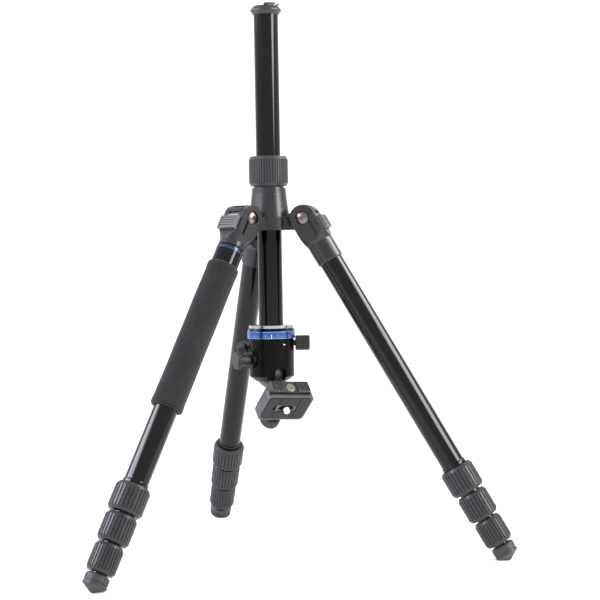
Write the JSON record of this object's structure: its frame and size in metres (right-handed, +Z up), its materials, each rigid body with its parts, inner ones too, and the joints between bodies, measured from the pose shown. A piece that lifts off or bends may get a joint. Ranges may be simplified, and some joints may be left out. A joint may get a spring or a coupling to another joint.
{
  "type": "travel tripod with ball head",
  "caption": "Folding travel tripod on twist-lock telescopic legs, its centre column reversed so the ball head and plate clamp hang between the legs",
  "frame": {"origin": "on the centre column's axis at floor level, where the three feet stand", "axes": "+Z up along the centre column; one leg straight back along +Y, the other two to the front, at 120 degrees; +X to the right"},
  "size_m": [0.4524, 0.3952, 0.5892],
  "materials": {
    "casting_black": "satin powder coat",
    "tab_grey": "satin anodised",
    "bush_black": "plain",
    "bolt_steel": "polished stainless",
    "grip_rubber": "matte ribbed",
    "anodised_black": "gloss black anodised",
    "cap_black": "satin",
    "ring_steel": "blackened",
    "screw_steel": "bright",
    "foot_rubber": "matte",
    "anodised_blue": "gloss blue anodised",
    "foam": "closed-cell foam",
    "bright_aluminium": "turned",
    "head_black": "satin black anodised",
    "cup_nylon": "plain",
    "knob_black": "matte",
    "ball_grey": "hard anodised",
    "bubble_green": "clear with green fluid",
    "plate_grey": "satin anodised",
    "pad_rubber": "matte"
  },
  "bodies": {
    "casting": {"spider": "casting_black", "column_bush": "bush_black", "pivot_bolts": "bolt_steel"},
    "collar": {"column_collar": "grip_rubber"},
    "column": {"column_tube": "anodised_black", "column_plug": "anodised_black", "column_cap": "cap_black", "head_stud": "screw_steel", "head_disc": "bright_aluminium", "pan_ring": "anodised_blue"},
    "cap_ring": {"cap_ring": "ring_steel"},
    "right_leg": {"right_fork": "casting_black", "right_tube_1": "anodised_black"},
    "right_angle_tab": {"right_tab": "tab_grey"},
    "right_lock_1": {"right_lock_1": "grip_rubber"},
    "right_section_2": {"right_tube_2": "anodised_black"},
    "right_lock_2": {"right_lock_2": "grip_rubber"},
    "right_section_3": {"right_tube_3": "anodised_black"},
    "right_lock_3": {"right_lock_3": "grip_rubber"},
    "right_section_4": {"right_tube_4": "anodised_black", "right_foot": "foot_rubber"},
    "left_leg": {"left_fork": "casting_black", "left_band": "anodised_blue", "left_cuff": "anodised_black", "left_grip": "foam", "left_tube_1": "anodised_black"},
    "left_angle_tab": {"left_tab": "tab_grey"},
    "left_lock_1": {"left_lock_1": "grip_rubber"},
    "left_section_2": {"left_tube_2": "anodised_black"},
    "left_lock_2": {"left_lock_2": "grip_rubber"},
    "left_section_3": {"left_tube_3": "anodised_black"},
    "left_lock_3": {"left_lock_3": "grip_rubber"},
    "left_section_4": {"left_tube_4": "anodised_black", "left_foot": "foot_rubber"},
    "rear_leg": {"rear_fork": "casting_black", "rear_tube_1": "anodised_black"},
    "rear_angle_tab": {"rear_tab": "tab_grey"},
    "rear_lock_1": {"rear_lock_1": "grip_rubber"},
    "rear_section_2": {"rear_tube_2": "anodised_black"},
    "rear_lock_2": {"rear_lock_2": "grip_rubber"},
    "rear_section_3": {"rear_tube_3": "anodised_black"},
    "rear_lock_3": {"rear_lock_3": "grip_rubber"},
    "rear_section_4": {"rear_tube_4": "anodised_black", "rear_foot": "foot_rubber"},
    "head": {"housing": "head_black", "ball_cup": "cup_nylon"},
    "ball_lock_knob": {"ball_lock_knob": "knob_black"},
    "drag_knob": {"drag_knob": "knob_black"},
    "pan_lock_knob": {"pan_lock_knob": "knob_black"},
    "ball": {"ball": "ball_grey"},
    "clamp": {"stem": "ball_grey", "clamp_body": "head_black", "bubble_level": "bubble_green"},
    "jaw": {"clamp_jaw": "head_black"},
    "clamp_knob": {"clamp_knob": "knob_black"},
    "plate": {"plate": "plate_grey", "plate_pads": "pad_rubber"},
    "camera_screw": {"camera_screw": "screw_steel"}
  },
  "joints": [
    {"name": "column_slide", "type": "slide", "parent": "casting", "child": "column", "axis": [0, 0, 1], "range_m": [-0.125, 0.085]},
    {"name": "collar_twist", "type": "hinge", "parent": "casting", "child": "collar", "pos_m": [0, 0, 0.39393], "axis": [0, 0, 1], "range_deg": [0, 120]},
    {"name": "cap_ring_fold", "type": "hinge", "parent": "column", "child": "cap_ring", "pos_m": [0, 0, 0.58713], "axis": [-0.2588, -0.9659, 0], "range_deg": [0, 180]},
    {"name": "right_leg_swing", "type": "hinge", "parent": "casting", "child": "right_leg", "pos_m": [0.03438, -0.01985, 0.35893], "axis": [-0.5, -0.866, 0], "range_deg": [-18, 149.4]},
    {"name": "right_tab_pull", "type": "slide", "parent": "right_leg", "child": "right_angle_tab", "axis": [-0.7454, 0.4304, -0.509], "range_m": [-0.005, 0], "stiffness_N_per_m": 400, "springref_m": 0.002},
    {"name": "right_lock_1_twist", "type": "hinge", "parent": "right_leg", "child": "right_lock_1", "pos_m": [0.03438, -0.01985, 0.35893], "axis": [0.4408, -0.2545, -0.8607], "range_deg": [0, 90]},
    {"name": "right_section_2_slide", "type": "slide", "parent": "right_leg", "child": "right_section_2", "axis": [0.4408, -0.2545, -0.8607], "range_m": [0, 0.225]},
    {"name": "right_lock_2_twist", "type": "hinge", "parent": "right_section_2", "child": "right_lock_2", "pos_m": [0.03438, -0.01985, 0.35893], "axis": [0.4408, -0.2545, -0.8607], "range_deg": [0, 90]},
    {"name": "right_section_3_slide", "type": "slide", "parent": "right_section_2", "child": "right_section_3", "axis": [0.4408, -0.2545, -0.8607], "range_m": [0, 0.245]},
    {"name": "right_lock_3_twist", "type": "hinge", "parent": "right_section_3", "child": "right_lock_3", "pos_m": [0.03438, -0.01985, 0.35893], "axis": [0.4408, -0.2545, -0.8607], "range_deg": [0, 90]},
    {"name": "right_section_4_slide", "type": "slide", "parent": "right_section_3", "child": "right_section_4", "axis": [0.4408, -0.2545, -0.8607], "range_m": [0, 0.265]},
    {"name": "left_leg_swing", "type": "hinge", "parent": "casting", "child": "left_leg", "pos_m": [-0.03438, -0.01985, 0.35893], "axis": [-0.5, 0.866, 0], "range_deg": [-18, 149.4]},
    {"name": "left_tab_pull", "type": "slide", "parent": "left_leg", "child": "left_angle_tab", "axis": [0.7454, 0.4304, -0.509], "range_m": [-0.005, 0], "stiffness_N_per_m": 400, "springref_m": 0.002},
    {"name": "left_lock_1_twist", "type": "hinge", "parent": "left_leg", "child": "left_lock_1", "pos_m": [-0.03438, -0.01985, 0.35893], "axis": [-0.4408, -0.2545, -0.8607], "range_deg": [0, 90]},
    {"name": "left_section_2_slide", "type": "slide", "parent": "left_leg", "child": "left_section_2", "axis": [-0.4408, -0.2545, -0.8607], "range_m": [0, 0.225]},
    {"name": "left_lock_2_twist", "type": "hinge", "parent": "left_section_2", "child": "left_lock_2", "pos_m": [-0.03438, -0.01985, 0.35893], "axis": [-0.4408, -0.2545, -0.8607], "range_deg": [0, 90]},
    {"name": "left_section_3_slide", "type": "slide", "parent": "left_section_2", "child": "left_section_3", "axis": [-0.4408, -0.2545, -0.8607], "range_m": [0, 0.245]},
    {"name": "left_lock_3_twist", "type": "hinge", "parent": "left_section_3", "child": "left_lock_3", "pos_m": [-0.03438, -0.01985, 0.35893], "axis": [-0.4408, -0.2545, -0.8607], "range_deg": [0, 90]},
    {"name": "left_section_4_slide", "type": "slide", "parent": "left_section_3", "child": "left_section_4", "axis": [-0.4408, -0.2545, -0.8607], "range_m": [0, 0.265]},
    {"name": "rear_leg_swing", "type": "hinge", "parent": "casting", "child": "rear_leg", "pos_m": [0, 0.0397, 0.35893], "axis": [1, 0, 0], "range_deg": [-18, 149.4]},
    {"name": "rear_tab_pull", "type": "slide", "parent": "rear_leg", "child": "rear_angle_tab", "axis": [0, -0.8607, -0.509], "range_m": [-0.005, 0], "stiffness_N_per_m": 400, "springref_m": 0.002},
    {"name": "rear_lock_1_twist", "type": "hinge", "parent": "rear_leg", "child": "rear_lock_1", "pos_m": [0, 0.0397, 0.35893], "axis": [0, 0.509, -0.8607], "range_deg": [0, 90]},
    {"name": "rear_section_2_slide", "type": "slide", "parent": "rear_leg", "child": "rear_section_2", "axis": [0, 0.509, -0.8607], "range_m": [0, 0.225]},
    {"name": "rear_lock_2_twist", "type": "hinge", "parent": "rear_section_2", "child": "rear_lock_2", "pos_m": [0, 0.0397, 0.35893], "axis": [0, 0.509, -0.8607], "range_deg": [0, 90]},
    {"name": "rear_section_3_slide", "type": "slide", "parent": "rear_section_2", "child": "rear_section_3", "axis": [0, 0.509, -0.8607], "range_m": [0, 0.245]},
    {"name": "rear_lock_3_twist", "type": "hinge", "parent": "rear_section_3", "child": "rear_lock_3", "pos_m": [0, 0.0397, 0.35893], "axis": [0, 0.509, -0.8607], "range_deg": [0, 90]},
    {"name": "rear_section_4_slide", "type": "slide", "parent": "rear_section_3", "child": "rear_section_4", "axis": [0, 0.509, -0.8607], "range_m": [0, 0.265]},
    {"name": "head_pan", "type": "hinge", "parent": "column", "child": "head", "pos_m": [0, 0, 0.19533], "axis": [0, 0, 1], "continuous": true},
    {"name": "ball_lock_knob_turn", "type": "hinge", "parent": "head", "child": "ball_lock_knob", "pos_m": [-0.02364, -0.00417, 0.20933], "axis": [-0.9848, -0.1736, 0], "range_deg": [0, 180]},
    {"name": "drag_knob_turn", "type": "hinge", "parent": "head", "child": "drag_knob", "pos_m": [-0.0199, 0.01342, 0.22433], "axis": [-0.7574, 0.5108, -0.4067], "range_deg": [0, 270]},
    {"name": "pan_lock_knob_turn", "type": "hinge", "parent": "head", "child": "pan_lock_knob", "pos_m": [0.02269, -0.00781, 0.22633], "axis": [0.9455, -0.3256, 0], "range_deg": [0, 180]},
    {"name": "ball_tilt", "type": "hinge", "parent": "head", "child": "ball", "pos_m": [0, 0, 0.19533], "axis": [-0.9903, -0.1392, 0], "range_deg": [-82, 46]},
    {"name": "clamp_spin", "type": "hinge", "parent": "ball", "child": "clamp", "pos_m": [0, 0, 0.19533], "axis": [0.0967, -0.6879, -0.7193], "continuous": true},
    {"name": "clamp_knob_turn", "type": "hinge", "parent": "clamp", "child": "clamp_knob", "pos_m": [-0.00232, -0.00417, 0.1484], "axis": [-0.1946, 0.6957, -0.6915], "range_deg": [0, 720]},
    {"name": "jaw_slide", "type": "slide", "parent": "clamp", "child": "jaw", "axis": [-0.1946, 0.6957, -0.6915], "range_m": [0, 0.0025]},
    {"name": "plate_slide", "type": "slide", "parent": "clamp", "child": "plate", "axis": [0.9761, 0.2068, -0.0666], "range_m": [-0.015, 0.015]},
    {"name": "camera_screw_turn", "type": "hinge", "parent": "plate", "child": "camera_screw", "pos_m": [0.00483, -0.03439, 0.15936], "axis": [0.0967, -0.6879, -0.7193], "continuous": true}
  ],
  "couplings": [
    {"joint": "clamp_knob_turn", "follows": "jaw_slide", "rad_per_m": 5026.5}
  ]
}
